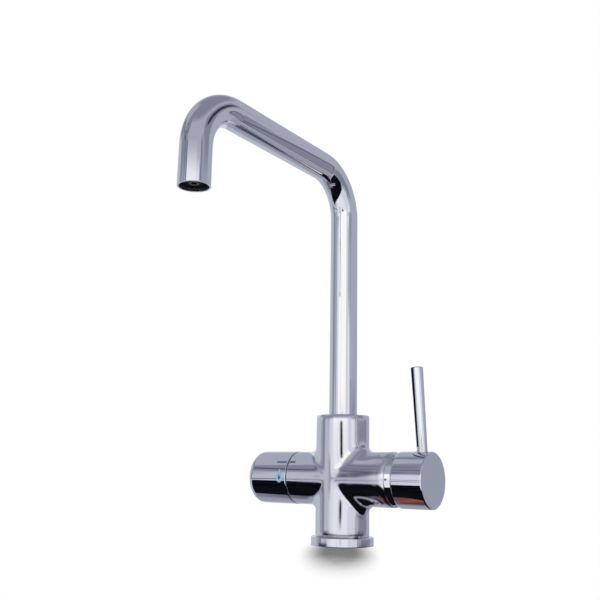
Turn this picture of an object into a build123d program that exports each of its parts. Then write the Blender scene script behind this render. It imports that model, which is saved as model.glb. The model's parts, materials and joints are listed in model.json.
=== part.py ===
from build123d import *
import math
import os

# Three-way kitchen tap, in millimetres: hot and cold through a mixer cartridge in one arm of a
# cross-shaped body, filtered water through a quarter-turn valve in the other, one swivel spout.
# Origin: centre of the base, on the worktop. +Z is up, the spout points to -Y, the mixer lever
# is on +X and the filtered-water knob on -X.

# ---------------------------------------------------------------- clearances
LAID_GAP = 0.1          # around pieces that are pressed in, screwed in or laid in a seat
RUNNING_GAP = 0.05      # between pieces that turn or slide on each other
PASSING_GAP = 0.4       # between pieces that only pass each other

# ---------------------------------------------------------------- body and base
COLUMN_RADIUS = 22.5
COLLAR_TOP = 106.5
ARM_STEP = 0.3                  # column's radius less the arms'
ARM_HEIGHT = 54.0               # arm axis above the worktop
MIXER_ARM_REACH = 51.2          # column axis to the end face of the mixer arm
FILTER_ARM_REACH = 43.3
JUNCTION_FILLET = 8.0
EDGE_CHAMFER = 0.4
SEAM_CHAMFER = 0.2              # on both sides of the seam between the filter arm and the knob

BASE_RING_STEP = 3.5            # base ring's radius beyond the column's
BASE_RING_HEIGHT = 7.0
FOOT_STEP = 2.6                 # column's radius less that of its foot inside the base ring
FOOT_LIFT = 0.5                 # foot above the worktop
BASE_SEAL_INSET = 2.8           # base ring's rim to the middle of the seal's section
BASE_SEAL_WIDTH = 2.4
BASE_SEAL_HEIGHT = 2.0

# ---------------------------------------------------------------- underside connections
PORT_PITCH = 14.8               # side of the square on which the four holes lie
INLET_RADIUS = 4.5              # M10 x 1 hose tails
INLET_DEPTH = 12.0
STUD_RADIUS = 3.35              # M8 fixing stud
STUD_DEPTH = 14.0
MIXER_PASSAGE_RADIUS = 2.8      # hot and cold water up to the cartridge
MIXED_PASSAGE_RADIUS = 2.2      # mixed water up to the spout
MIXED_PASSAGE_OFFSET = 7.2      # from the column's axis
FILTER_PASSAGE_RADIUS = 2.2

# ---------------------------------------------------------------- spout
SPOUT_RADIUS = 12.0
SPOUT_WALL = 1.2
SPOUT_HEIGHT = 321.5            # centreline of the level run above the worktop
SPOUT_REACH = 199.0
SPOUT_BEND = 39.0               # centreline radius
SPOUT_DROP = 69.1               # level run's centreline down to the mouth
TUBE_INSERTION = 6.0            # tube end below the collar's top

SPIGOT_BORE = 8.0
SPIGOT_PLUG = 12.0              # part of the spigot inside the tube
GUIDE_RING_WIDTH = 2.4
GUIDE_RING_THICKNESS = 1.5
SPOUT_O_RING = 1.9              # section
SPIGOT_LAND = 1.5               # between the spigot's grooves, below and above them
RETAINING_GROOVE_WIDTH = 4.0
RETAINING_GROOVE_DEPTH = 2.0
RETAINING_SCREW_RADIUS = 2.0    # M4
RETAINING_POINT_RADIUS = 1.5
SCREW_RECESS = 0.8              # screw head below the surface
KEY_SOCKET_WIDTH = 0.6          # grub screws' sockets, as shares of their radius and length
KEY_SOCKET_DEPTH = 0.35

CHAMBER_RADIUS = 10.0           # mixed-water chamber under the spigot
CHAMBER_DEPTH = 12.0
RISER_RADIUS = 2.9
RISER_BORE = 1.9
RISER_SOCKET_DEPTH = 8.0
RISER_HEIGHT = 22.0             # above the chamber's floor
RISER_O_RING = 0.85
RISER_O_RING_DROP = 3.4         # riser's top down to the ring
FILTERED_TUBE_RADIUS = 4.0
FILTERED_TUBE_LIFT = 6.0        # tube's lower end above the chamber's floor

# ---------------------------------------------------------------- outlet
AERATOR_RECESS = 3.2            # core's face above the tube's mouth
AERATOR_SLEEVE_WALL = 1.4
AERATOR_SLEEVE_LENGTH = 13.0
AERATOR_LIP = 1.2               # sleeve's rim below the core
AERATOR_CORE_THICKNESS = 6.0
AERATOR_CELL = 0.65             # corner radius of the six-sided flow cells
AERATOR_CELL_COUNTS = (14, 20)  # cells in each circle, from the nozzle outwards
AERATOR_WASHER_THICKNESS = 1.8
AERATOR_WASHER_WIDTH = 2.6
NOZZLE_RADIUS = 3.8
NOZZLE_BORE = 2.2
NOZZLE_PROUD = 1.0              # nozzle's tip below the core's face
NOZZLE_SPIGOT_LENGTH = 8.0

# ---------------------------------------------------------------- mixer cartridge
CARTRIDGE_SEAT_DEPTH = 31.2     # arm's end face down to the cartridge's seat
CARTRIDGE_RADIUS = 17.5
CARTRIDGE_LENGTH = 23.5         # base to shoulder
CARTRIDGE_NECK_RADIUS = 12.6
CARTRIDGE_NECK_LENGTH = 8.0
CARTRIDGE_WALL = 3.4
CARTRIDGE_TOP_WALL = 2.7
CARTRIDGE_LIFT = 0.5            # base above the seat, taken up by the seals
CARTRIDGE_BASE = 3.5            # thickness under the fixed disc
CARTRIDGE_SEAL_WIDTH = 1.2
CARTRIDGE_SEAL_HEIGHT = 1.5
DISC_THICKNESS = 3.0
PORT_RADIUS = 2.8
INLET_PORT_SIDE = 8.0           # inlet ports beside and above the arm's axis
INLET_PORT_RISE = 5.0
OUTLET_PORT_DROP = 9.0          # outlet port below it
MOVING_DISC_RADIUS = 10.5
MIXING_POCKET_RADIUS = 8.6
MIXING_POCKET_DEPTH = 1.6
MIXING_POCKET_EDGE = 1.5        # pocket's top edge above the arm's axis
DISC_TRAVEL = 3.5
CARRIER_THICKNESS = 5.0
CARRIER_WIDTH = 18.0
CARRIER_HEIGHT = 17.5
ROTOR_NECK_RADIUS = 10.4
STEM_PIN_HEIGHT = 21.5          # cartridge's base to the lever's tilt pin
STEM_WIDTH = 7.0
STEM_TILT = 25.0                # degrees, closed to fully open
STEM_BALL_RADIUS = 3.0
STEM_BALL_DROP = 8.0            # pin to the middle of the ball
STEM_PIN_RADIUS = 1.5
STEM_PIN_LENGTH = 18.0
STEM_SHOULDER = 4.0             # pin to the end of the square part
STEM_NECK_RADIUS = 2.2

NUT_STEP = 1.1                  # nut's radius beyond the cartridge's
NUT_THREAD_RUNOUT = 1.0
NUT_BOSS_RADIUS = 15.0
NUT_BOSS_LENGTH = 4.8           # beyond the arm's end
DOME_STEP = 0.23                # dome's surface inside the arm's rim, about the tilt pin
DOME_LENGTH = 5.8

# ---------------------------------------------------------------- lever
CAP_STEP = 0.3                  # cap's radius beyond the arm's
CAP_GAP = 0.5                   # dome ring to the cap's rim
CAP_LENGTH = 26.5
CAP_WALL = 1.7
CAP_CAVITY_DEPTH = 10.0
CAP_CHAMFER = 0.6
STEM_SOCKET_DEPTH = 10.0
ROD_SETBACK = 9.4               # cap's face to where the rod's axis leaves it
ROD_LEAN = 3.3                  # degrees towards the column
ROD_FOOT_RADIUS = 4.25
ROD_TOP_RADIUS = 5.1
ROD_LENGTH = 68.0               # outside the cap
ROD_INSERTION = 8.0
ROD_EDGE = 0.8
ROD_COUNTERSINK = 0.7           # width of the bright rim round the rod's foot
LEVER_SCREW_RADIUS = 2.5        # M5
LEVER_SCREW_LENGTH = 8.0

# ---------------------------------------------------------------- filtered-water valve
HEADWORK_SEAT_DEPTH = 23.3      # arm's end face down to the valve's seat
HEADWORK_RADIUS = 9.5           # G 1/2 thread
HEADWORK_LIFT = 0.5
HEADWORK_CAVITY = 8.0
HEADWORK_CAVITY_DEPTH = 11.0
HEADWORK_HEX = 24.0             # across flats
HEADWORK_HEX_THICKNESS = 4.7
HEADWORK_NECK_RADIUS = 7.5
HEADWORK_NECK_LENGTH = 8.0
WINDOW_WIDTH = 9.0
WINDOW_LENGTH = 3.6
FILTER_CHAMBER_DEPTH = 2.0      # ring-shaped chamber around the windows
FILTER_CHAMBER_LENGTH = 9.0
SEAT_WASHER_THICKNESS = 2.0
SEAT_WASHER_BORE = 4.0
VALVE_DISC_THICKNESS = 2.5
VALVE_PORT_INNER = 1.8
VALVE_PORT_OUTER = 6.4
VALVE_PORT_ANGLE = 80.0
SPINDLE_RADIUS = 4.0
SPINDLE_DRIVER_WIDTH = 6.0
SPINDLE_DRIVER_THICKNESS = 2.4
SPINDLE_COLLAR_RADIUS = 6.0
SPINDLE_SQUARE = 5.6
SPINDLE_SQUARE_LENGTH = 12.0
SPINDLE_O_RING = 1.4
SPINDLE_O_RING_HEIGHTS = (16.5, 21.5)   # above the headwork's foot
CLIP_THICKNESS = 1.0
CLIP_RADIUS = 6.0
CLIP_SEAT_DEPTH = 0.8
CLIP_SLOT = 5.0

KNOB_STEP = 0.2                 # knob's radius beyond the arm's
KNOB_LENGTH = 42.0
KNOB_GAP = 0.8                  # between the arm and the knob
KNOB_WALL = 2.9
KNOB_END_WALL = 6.0
KNOB_FILLET = 7.0
KNOB_HUB_RADIUS = 8.5
KNOB_SCREW_RADIUS = 1.5         # M3
KNOB_SCREW_LENGTH = 4.5

# ---------------------------------------------------------------- worked-out places
ARM_RADIUS = COLUMN_RADIUS - ARM_STEP
BASE_RING_RADIUS = COLUMN_RADIUS + BASE_RING_STEP
FOOT_RADIUS = COLUMN_RADIUS - FOOT_STEP
BASE_SEAL_RADIUS = BASE_RING_RADIUS - BASE_SEAL_INSET

GUIDE_GROOVE = GUIDE_RING_WIDTH + 2 * LAID_GAP
O_RING_GROOVE = SPOUT_O_RING + 2 * LAID_GAP
SPIGOT_GROOVES = (GUIDE_GROOVE, O_RING_GROOVE, O_RING_GROOVE, RETAINING_GROOVE_WIDTH, GUIDE_GROOVE)
SPIGOT_LENGTH = sum(SPIGOT_GROOVES) + SPIGOT_LAND * (len(SPIGOT_GROOVES) + 1)
OUTLET_HEIGHT = SPOUT_HEIGHT - SPOUT_DROP
TUBE_END = COLLAR_TOP - TUBE_INSERTION
SPIGOT_SEAT = TUBE_END - SPIGOT_LENGTH
CHAMBER_FLOOR = SPIGOT_SEAT - CHAMBER_DEPTH
SPOUT_BORE = SPOUT_RADIUS - SPOUT_WALL
SWIVEL_BORE = SPOUT_RADIUS + PASSING_GAP
PORT_OFFSET = PORT_PITCH / 2
RISER_FOOT = CHAMBER_FLOOR - RISER_SOCKET_DEPTH
FILTERED_TUBE_BORE = RISER_RADIUS + LAID_GAP

CARTRIDGE_SEAT = MIXER_ARM_REACH - CARTRIDGE_SEAT_DEPTH
CARTRIDGE_FOOT = CARTRIDGE_SEAT + CARTRIDGE_LIFT
CARTRIDGE_CAVITY = CARTRIDGE_RADIUS - CARTRIDGE_WALL
FIXED_DISC_FOOT = CARTRIDGE_FOOT + CARTRIDGE_BASE
MOVING_DISC_FOOT = FIXED_DISC_FOOT + DISC_THICKNESS + RUNNING_GAP
CARRIER_FOOT = MOVING_DISC_FOOT + DISC_THICKNESS
CARRIER_TOP = CARRIER_FOOT + CARRIER_THICKNESS
CARTRIDGE_SHOULDER = CARTRIDGE_FOOT + CARTRIDGE_LENGTH
CARTRIDGE_TOP = CARTRIDGE_SHOULDER + CARTRIDGE_NECK_LENGTH
ROTOR_SHOULDER = CARTRIDGE_SHOULDER - CARTRIDGE_TOP_WALL - PASSING_GAP
ROTOR_TOP = CARTRIDGE_TOP - PASSING_GAP
NUT_RADIUS = CARTRIDGE_RADIUS + NUT_STEP
STEM_PIVOT = CARTRIDGE_FOOT + STEM_PIN_HEIGHT
DOME_RADIUS = math.hypot(ARM_RADIUS, MIXER_ARM_REACH - STEM_PIVOT) - DOME_STEP
CAP_RADIUS = ARM_RADIUS + CAP_STEP
CAP_RIM = MIXER_ARM_REACH + DOME_LENGTH + CAP_GAP
CAP_FACE = CAP_RIM + CAP_LENGTH
CAP_SOLID = CAP_RIM + CAP_CAVITY_DEPTH
STEM_END = CAP_SOLID + STEM_SOCKET_DEPTH
LEVER_SCREW_STATION = (CAP_SOLID + STEM_END) / 2
ROD_STATION = CAP_FACE - ROD_SETBACK

HEADWORK_SEAT = FILTER_ARM_REACH - HEADWORK_SEAT_DEPTH
FILTER_CHAMBER_RADIUS = HEADWORK_RADIUS + FILTER_CHAMBER_DEPTH
VALVE_FIXED_DISC_FOOT = HEADWORK_SEAT + SEAT_WASHER_THICKNESS
VALVE_MOVING_DISC_FOOT = VALVE_FIXED_DISC_FOOT + VALVE_DISC_THICKNESS + RUNNING_GAP
DRIVER_FOOT = VALVE_MOVING_DISC_FOOT + VALVE_DISC_THICKNESS
DRIVER_TOP = DRIVER_FOOT + SPINDLE_DRIVER_THICKNESS
HEADWORK_FOOT = HEADWORK_SEAT + HEADWORK_LIFT
HEADWORK_SHELF = HEADWORK_FOOT + HEADWORK_CAVITY_DEPTH
HEADWORK_NECK = FILTER_ARM_REACH + HEADWORK_HEX_THICKNESS
HEADWORK_TOP = HEADWORK_NECK + HEADWORK_NECK_LENGTH
HEADWORK_BORE = SPINDLE_RADIUS + RUNNING_GAP
CLIP_FOOT = HEADWORK_TOP + PASSING_GAP
HUB_FOOT = CLIP_FOOT + CLIP_THICKNESS + PASSING_GAP
SPINDLE_END = HUB_FOOT + SPINDLE_SQUARE_LENGTH
KNOB_RADIUS = ARM_RADIUS + KNOB_STEP
KNOB_RIM = FILTER_ARM_REACH + KNOB_GAP
KNOB_FACE = KNOB_RIM + KNOB_LENGTH
KNOB_SCREW_STATION = (HUB_FOOT + SPINDLE_END) / 2

AERATOR_FACE = OUTLET_HEIGHT + AERATOR_RECESS
AERATOR_TOP = AERATOR_FACE - AERATOR_LIP + AERATOR_SLEEVE_LENGTH
NOZZLE_SHOULDER = AERATOR_FACE + AERATOR_CORE_THICKNESS

# Each arm is drawn standing up on its own axis and laid over into place. Local X is up.
MIXER_SIDE = Plane(origin=(0, 0, ARM_HEIGHT), x_dir=(0, 0, 1), z_dir=(1, 0, 0)).location
FILTER_SIDE = Plane(origin=(0, 0, ARM_HEIGHT), x_dir=(0, 0, 1), z_dir=(-1, 0, 0)).location
OUTLET = Pos(0, -SPOUT_REACH, 0)

CENTRED = (Align.CENTER, Align.CENTER, Align.MIN)


# ---------------------------------------------------------------- shared shapes
def bar(radius, low, high):
    """Round bar on the local Z axis."""
    return Pos(0, 0, low) * Cylinder(radius, high - low, align=CENTRED)


def sleeve(outer, inner, low, high):
    return bar(outer, low, high) - bar(inner, low, high)


def block(height_way, width_way, low, high):
    return Pos(0, 0, low) * Box(height_way, width_way, high - low, align=CENTRED)


def bevelled_bar(radius, low, high, bevel):
    """Round bar whose far rim is bevelled."""
    whole = bar(radius, low, high)
    return chamfer(whole.edges().group_by(Axis.Z)[-1], bevel)


def o_ring(outer, section, height):
    """Rubber ring as it lies in its groove, with an eight-sided section."""
    octagon = RegularPolygon(section / 2, 8, major_radius=False, rotation=22.5)
    return revolve(Plane.XZ * Pos(outer - section / 2, height) * octagon, Axis.Z)


def passage(points, radius):
    """Drilled waterway: straight runs that cross where it turns."""
    drillings = []
    for start, end in zip(points, points[1:]):
        way = Vector(*end) - Vector(*start)
        place = Plane(origin=start, z_dir=way).location
        drillings.append(place * bar(radius, -radius, way.length + radius))
    return drillings


def groove_middles(widths, land):
    """Middles of grooves that stand one above the other between equal lands."""
    middles = []
    top = 0.0
    for width in widths:
        middles.append(top + land + width / 2)
        top += land + width
    return middles


def hex_socket(radius, depth, top):
    """Key socket sunk into the far end of a screw."""
    return extrude(Pos(0, 0, top - depth) * RegularPolygon(radius, 6), depth)


def grub_screw(radius, low, top):
    """Headless screw standing on the local Z axis, key socket at its far end."""
    socket_depth = KEY_SOCKET_DEPTH * (top - low)
    return bar(radius, low, top) - hex_socket(KEY_SOCKET_WIDTH * radius, socket_depth, top)


def along_spout(radius, low, end):
    """Round bar that follows the spout's centreline."""
    route = FilletPolyline(
        (0, 0, low),
        (0, 0, SPOUT_HEIGHT),
        (0, -SPOUT_REACH, SPOUT_HEIGHT),
        (0, -SPOUT_REACH, end),
        radius=SPOUT_BEND,
    )
    return sweep(Pos(0, 0, low) * Circle(radius), path=route)


# ---------------------------------------------------------------- body
def cartridge_ports():
    """Local places of the hot, cold and outlet ports on the cartridge's base."""
    hot = (INLET_PORT_RISE, INLET_PORT_SIDE)
    cold = (INLET_PORT_RISE, -INLET_PORT_SIDE)
    outlet = (-OUTLET_PORT_DROP, 0)
    return hot, cold, outlet


def mixer_passages():
    inlet_level = ARM_HEIGHT + INLET_PORT_RISE
    outlet_level = ARM_HEIGHT - OUTLET_PORT_DROP
    cores = []
    for side in (-1, 1):
        cores += passage(
            [
                (PORT_OFFSET, side * PORT_OFFSET, FOOT_LIFT),
                (PORT_OFFSET, side * PORT_OFFSET, inlet_level),
                (CARTRIDGE_SEAT, side * INLET_PORT_SIDE, inlet_level),
            ],
            MIXER_PASSAGE_RADIUS,
        )
    cores += passage(
        [
            (CARTRIDGE_SEAT, 0, outlet_level),
            (MIXED_PASSAGE_OFFSET, 0, outlet_level),
            (MIXED_PASSAGE_OFFSET, 0, CHAMBER_FLOOR),
        ],
        MIXED_PASSAGE_RADIUS,
    )
    return cores


def filtered_passages():
    chamber_middle = HEADWORK_SEAT + FILTER_CHAMBER_LENGTH / 2
    chamber_crown = ARM_HEIGHT + HEADWORK_RADIUS
    supply = passage(
        [
            (-PORT_OFFSET, -PORT_OFFSET, FOOT_LIFT),
            (-PORT_OFFSET, -PORT_OFFSET, ARM_HEIGHT - FILTER_PASSAGE_RADIUS),
            (-HEADWORK_SEAT, 0, ARM_HEIGHT),
        ],
        FILTER_PASSAGE_RADIUS,
    )
    delivery = passage(
        [
            (-chamber_middle, 0, chamber_crown),
            (0, 0, RISER_FOOT + FILTER_PASSAGE_RADIUS),
        ],
        FILTER_PASSAGE_RADIUS,
    )
    return supply + delivery


def underside_holes():
    holes = []
    for x, y in ((1, -1), (1, 1), (-1, -1)):
        place = Pos(x * PORT_OFFSET, y * PORT_OFFSET, 0)
        holes.append(place * bar(INLET_RADIUS, 0, FOOT_LIFT + INLET_DEPTH))
    stud_place = Pos(-PORT_OFFSET, PORT_OFFSET, 0)
    holes.append(stud_place * bar(STUD_RADIUS, 0, FOOT_LIFT + STUD_DEPTH))
    return holes


def spigot_levels():
    """Heights of the spigot's grooves: guide, two seals, retaining screw, guide."""
    return [SPIGOT_SEAT + middle for middle in groove_middles(SPIGOT_GROOVES, SPIGOT_LAND)]


def retaining_screw_place():
    """Back of the collar, level with the spigot's groove, local Z pointing out."""
    level = spigot_levels()[3]
    return Plane(origin=(0, 0, level), x_dir=(1, 0, 0), z_dir=(0, 1, 0)).location


def make_body_casting():
    column = bevelled_bar(COLUMN_RADIUS, BASE_RING_HEIGHT, COLLAR_TOP, EDGE_CHAMFER)
    mixer_arm = MIXER_SIDE * bevelled_bar(ARM_RADIUS, 0, MIXER_ARM_REACH, EDGE_CHAMFER)
    filter_arm = FILTER_SIDE * bevelled_bar(ARM_RADIUS, 0, FILTER_ARM_REACH, SEAM_CHAMFER)
    cross = column + mixer_arm + filter_arm
    plain = (GeomType.CIRCLE, GeomType.LINE)
    junctions = [edge for edge in cross.edges() if edge.geom_type not in plain]
    cross = fillet(junctions, JUNCTION_FILLET)
    cross += bar(FOOT_RADIUS, FOOT_LIFT, BASE_RING_HEIGHT)

    nut_thread_end = CARTRIDGE_SHOULDER - NUT_THREAD_RUNOUT
    hollows = [
        bar(SWIVEL_BORE, SPIGOT_SEAT, COLLAR_TOP),
        bar(CHAMBER_RADIUS, CHAMBER_FLOOR, SPIGOT_SEAT),
        bar(RISER_RADIUS + LAID_GAP, RISER_FOOT, CHAMBER_FLOOR),
        MIXER_SIDE * bar(CARTRIDGE_RADIUS + LAID_GAP, CARTRIDGE_SEAT, MIXER_ARM_REACH),
        MIXER_SIDE * bar(NUT_RADIUS + LAID_GAP, nut_thread_end, MIXER_ARM_REACH),
        FILTER_SIDE * bar(HEADWORK_RADIUS + LAID_GAP, HEADWORK_SEAT, FILTER_ARM_REACH),
        FILTER_SIDE
        * bar(
            FILTER_CHAMBER_RADIUS,
            VALVE_FIXED_DISC_FOOT,
            VALVE_FIXED_DISC_FOOT + FILTER_CHAMBER_LENGTH,
        ),
        retaining_screw_place() * bar(RETAINING_SCREW_RADIUS + LAID_GAP, 0, COLUMN_RADIUS),
    ]
    return cross - hollows - mixer_passages() - filtered_passages() - underside_holes()


def make_base_ring():
    ring = bevelled_bar(BASE_RING_RADIUS, 0, BASE_RING_HEIGHT, EDGE_CHAMFER)
    groove = sleeve(
        BASE_SEAL_RADIUS + BASE_SEAL_WIDTH / 2 + LAID_GAP,
        BASE_SEAL_RADIUS - BASE_SEAL_WIDTH / 2 - LAID_GAP,
        0,
        BASE_SEAL_HEIGHT,
    )
    return ring - bar(FOOT_RADIUS + LAID_GAP, 0, BASE_RING_HEIGHT) - groove


def make_base_seal():
    half_width = BASE_SEAL_WIDTH / 2
    return sleeve(BASE_SEAL_RADIUS + half_width, BASE_SEAL_RADIUS - half_width, 0, BASE_SEAL_HEIGHT)


def make_spout_retaining_screw():
    shank_end = SWIVEL_BORE + PASSING_GAP
    shank = grub_screw(RETAINING_SCREW_RADIUS, shank_end, COLUMN_RADIUS - SCREW_RECESS)
    point_end = SPOUT_RADIUS - RETAINING_GROOVE_DEPTH + PASSING_GAP
    point = bar(RETAINING_POINT_RADIUS, point_end, shank_end)
    return retaining_screw_place() * (shank + point)


# ---------------------------------------------------------------- spout
def make_spout_tube():
    outside = along_spout(SPOUT_RADIUS, TUBE_END, OUTLET_HEIGHT)
    inside = along_spout(SPOUT_BORE, TUBE_END, OUTLET_HEIGHT)
    return outside - inside


def make_spout_spigot():
    running_radius = SWIVEL_BORE - RUNNING_GAP
    spigot = bar(SPOUT_RADIUS, SPIGOT_SEAT + LAID_GAP, TUBE_END)
    spigot += bar(SPOUT_BORE - LAID_GAP, TUBE_END, TUBE_END + SPIGOT_PLUG)
    guide_bottom = running_radius - GUIDE_RING_THICKNESS - LAID_GAP
    o_ring_bottom = running_radius - SPOUT_O_RING - LAID_GAP
    retaining_bottom = SPOUT_RADIUS - RETAINING_GROOVE_DEPTH
    bottoms = (guide_bottom, o_ring_bottom, o_ring_bottom, retaining_bottom, guide_bottom)
    grooves = [
        sleeve(SPOUT_RADIUS, bottom, level - width / 2, level + width / 2)
        for level, width, bottom in zip(spigot_levels(), SPIGOT_GROOVES, bottoms)
    ]
    return spigot - grooves - bar(SPIGOT_BORE, SPIGOT_SEAT, TUBE_END + SPIGOT_PLUG)


def make_spout_guide_rings():
    outer = SWIVEL_BORE - RUNNING_GAP
    inner = outer - GUIDE_RING_THICKNESS
    half_width = GUIDE_RING_WIDTH / 2
    lower, *_, upper = spigot_levels()
    rings = [
        sleeve(outer, inner, level - half_width, level + half_width) for level in (lower, upper)
    ]
    return Part() + rings


def make_spout_o_rings():
    outer = SWIVEL_BORE - RUNNING_GAP
    return Part() + [o_ring(outer, SPOUT_O_RING, level) for level in spigot_levels()[1:3]]


def riser_o_ring_level():
    return CHAMBER_FLOOR + RISER_HEIGHT - RISER_O_RING_DROP


def make_filtered_riser():
    level = riser_o_ring_level()
    reach = RISER_O_RING / 2 + LAID_GAP / 2
    riser = sleeve(RISER_RADIUS, RISER_BORE, RISER_FOOT, CHAMBER_FLOOR + RISER_HEIGHT)
    groove_bottom = FILTERED_TUBE_BORE - RUNNING_GAP - RISER_O_RING - LAID_GAP / 2
    riser -= sleeve(RISER_RADIUS, groove_bottom, level - reach, level + reach)
    return riser


def make_riser_o_ring():
    return o_ring(FILTERED_TUBE_BORE - RUNNING_GAP, RISER_O_RING, riser_o_ring_level())


def make_filtered_tube():
    low = CHAMBER_FLOOR + FILTERED_TUBE_LIFT
    end = NOZZLE_SHOULDER
    outside = along_spout(FILTERED_TUBE_RADIUS, low, end)
    return outside - along_spout(FILTERED_TUBE_BORE, low, end)


# ---------------------------------------------------------------- outlet
def make_aerator_housing():
    outer = SPOUT_BORE - LAID_GAP
    low = AERATOR_FACE - AERATOR_LIP
    return OUTLET * sleeve(outer, outer - AERATOR_SLEEVE_WALL, low, AERATOR_TOP)


def make_aerator_core():
    """Flow grid: circles of six-sided cells, evenly spaced between nozzle and rim."""
    rim = SPOUT_BORE - AERATOR_SLEEVE_WALL - 2 * LAID_GAP
    centre = NOZZLE_RADIUS + LAID_GAP
    pitch = (rim - centre) / (len(AERATOR_CELL_COUNTS) + 1)
    grid = Circle(rim) - Circle(centre)
    for ring, count in enumerate(AERATOR_CELL_COUNTS, start=1):
        grid -= PolarLocations(centre + ring * pitch, count) * RegularPolygon(AERATOR_CELL, 6)
    return OUTLET * extrude(Pos(0, 0, AERATOR_FACE) * grid, AERATOR_CORE_THICKNESS)


def make_aerator_washer():
    outer = SPOUT_BORE - LAID_GAP
    inner = outer - AERATOR_WASHER_WIDTH
    return OUTLET * sleeve(outer, inner, AERATOR_TOP, AERATOR_TOP + AERATOR_WASHER_THICKNESS)


def make_filtered_nozzle():
    spigot_radius = FILTERED_TUBE_BORE - LAID_GAP
    nozzle = bar(NOZZLE_RADIUS, AERATOR_FACE - NOZZLE_PROUD, NOZZLE_SHOULDER)
    nozzle += bar(spigot_radius, NOZZLE_SHOULDER, NOZZLE_SHOULDER + NOZZLE_SPIGOT_LENGTH)
    bore = bar(NOZZLE_BORE, AERATOR_FACE - NOZZLE_PROUD, NOZZLE_SHOULDER + NOZZLE_SPIGOT_LENGTH)
    return OUTLET * (nozzle - bore)


# ---------------------------------------------------------------- mixer cartridge
def make_cartridge_housing():
    housing = bar(CARTRIDGE_RADIUS, CARTRIDGE_FOOT, CARTRIDGE_SHOULDER)
    housing += bar(CARTRIDGE_NECK_RADIUS, CARTRIDGE_SHOULDER, CARTRIDGE_TOP)
    hollows = [
        bar(CARTRIDGE_CAVITY, FIXED_DISC_FOOT, CARTRIDGE_SHOULDER - CARTRIDGE_TOP_WALL),
        bar(ROTOR_NECK_RADIUS + LAID_GAP, FIXED_DISC_FOOT, CARTRIDGE_TOP),
    ]
    seal_room = PORT_RADIUS + CARTRIDGE_SEAL_WIDTH + LAID_GAP
    seal_top = CARTRIDGE_SEAT + CARTRIDGE_SEAL_HEIGHT
    for place in cartridge_ports():
        hollows.append(Pos(*place) * bar(PORT_RADIUS, CARTRIDGE_FOOT, FIXED_DISC_FOOT))
        hollows.append(Pos(*place) * bar(seal_room, CARTRIDGE_FOOT, seal_top))
    return MIXER_SIDE * (housing - hollows)


def make_cartridge_seals():
    outer = PORT_RADIUS + CARTRIDGE_SEAL_WIDTH
    top = CARTRIDGE_SEAT + CARTRIDGE_SEAL_HEIGHT
    rings = [
        Pos(*place) * sleeve(outer, PORT_RADIUS, CARTRIDGE_SEAT, top) for place in cartridge_ports()
    ]
    return MIXER_SIDE * (Part() + rings)


def make_cartridge_fixed_disc():
    top = FIXED_DISC_FOOT + DISC_THICKNESS
    disc = bar(CARTRIDGE_CAVITY - LAID_GAP, FIXED_DISC_FOOT, top)
    ports = [Pos(*place) * bar(PORT_RADIUS, FIXED_DISC_FOOT, top) for place in cartridge_ports()]
    return MIXER_SIDE * (disc - ports)


def make_cartridge_moving_disc():
    """Slides up its carrier's travel; its pocket joins the inlets to the outlet."""
    centre = Pos(-DISC_TRAVEL / 2, 0, 0)
    disc = centre * bar(MOVING_DISC_RADIUS, MOVING_DISC_FOOT, CARRIER_FOOT)
    pocket_top = MOVING_DISC_FOOT + MIXING_POCKET_DEPTH
    pocket = centre * bar(MIXING_POCKET_RADIUS, MOVING_DISC_FOOT, pocket_top)
    beyond = 2 * MOVING_DISC_RADIUS
    keep = Pos(MIXING_POCKET_EDGE + beyond / 2, 0, 0) * block(
        beyond, 2 * beyond, MOVING_DISC_FOOT, pocket_top
    )
    return MIXER_SIDE * (disc - (pocket - keep))


def make_disc_carrier():
    carrier = Pos(-DISC_TRAVEL / 2, 0, 0) * block(
        CARRIER_HEIGHT, CARRIER_WIDTH, CARRIER_FOOT, CARRIER_TOP
    )
    socket_radius = STEM_BALL_RADIUS + PASSING_GAP / 2
    socket_foot = STEM_PIVOT - STEM_BALL_DROP - socket_radius
    return MIXER_SIDE * (carrier - bar(socket_radius, socket_foot, CARRIER_TOP))


def make_cartridge_rotor():
    radius = CARTRIDGE_CAVITY - LAID_GAP
    foot = CARRIER_FOOT + PASSING_GAP
    rotor = bar(radius, foot, ROTOR_SHOULDER) + bar(ROTOR_NECK_RADIUS, ROTOR_SHOULDER, ROTOR_TOP)
    channel = CARRIER_WIDTH + PASSING_GAP
    beyond = 2 * (radius + PASSING_GAP)
    rotor -= block(beyond, channel, foot, CARRIER_TOP + PASSING_GAP)
    tilt = math.radians(STEM_TILT)
    swing = (ROTOR_TOP - STEM_PIVOT) * math.tan(tilt) + STEM_WIDTH / 2 / math.cos(tilt)
    slot_height = 2 * (swing + PASSING_GAP)
    rotor -= block(slot_height, STEM_WIDTH + PASSING_GAP, foot, ROTOR_TOP)
    return MIXER_SIDE * (rotor - stem_pin_bar(STEM_PIN_RADIUS, STEM_PIN_LENGTH))


def stem_pin_bar(radius, length):
    """Bar across the arm, through the lever's tilt axis."""
    place = Plane(origin=(0, -length / 2, STEM_PIVOT), x_dir=(1, 0, 0), z_dir=(0, 1, 0)).location
    return place * bar(radius, 0, length)


def make_stem_pin():
    return MIXER_SIDE * stem_pin_bar(STEM_PIN_RADIUS, STEM_PIN_LENGTH)


def make_cartridge_stem():
    ball_middle = STEM_PIVOT - STEM_BALL_DROP
    square_foot = STEM_PIVOT - STEM_SHOULDER
    stem = block(STEM_WIDTH, STEM_WIDTH, square_foot, STEM_END)
    stem += bar(STEM_NECK_RADIUS, ball_middle, square_foot)
    stem += Pos(0, 0, ball_middle) * Sphere(STEM_BALL_RADIUS)
    return MIXER_SIDE * (stem - stem_pin_bar(STEM_PIN_RADIUS + RUNNING_GAP, 2 * STEM_WIDTH))


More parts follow.
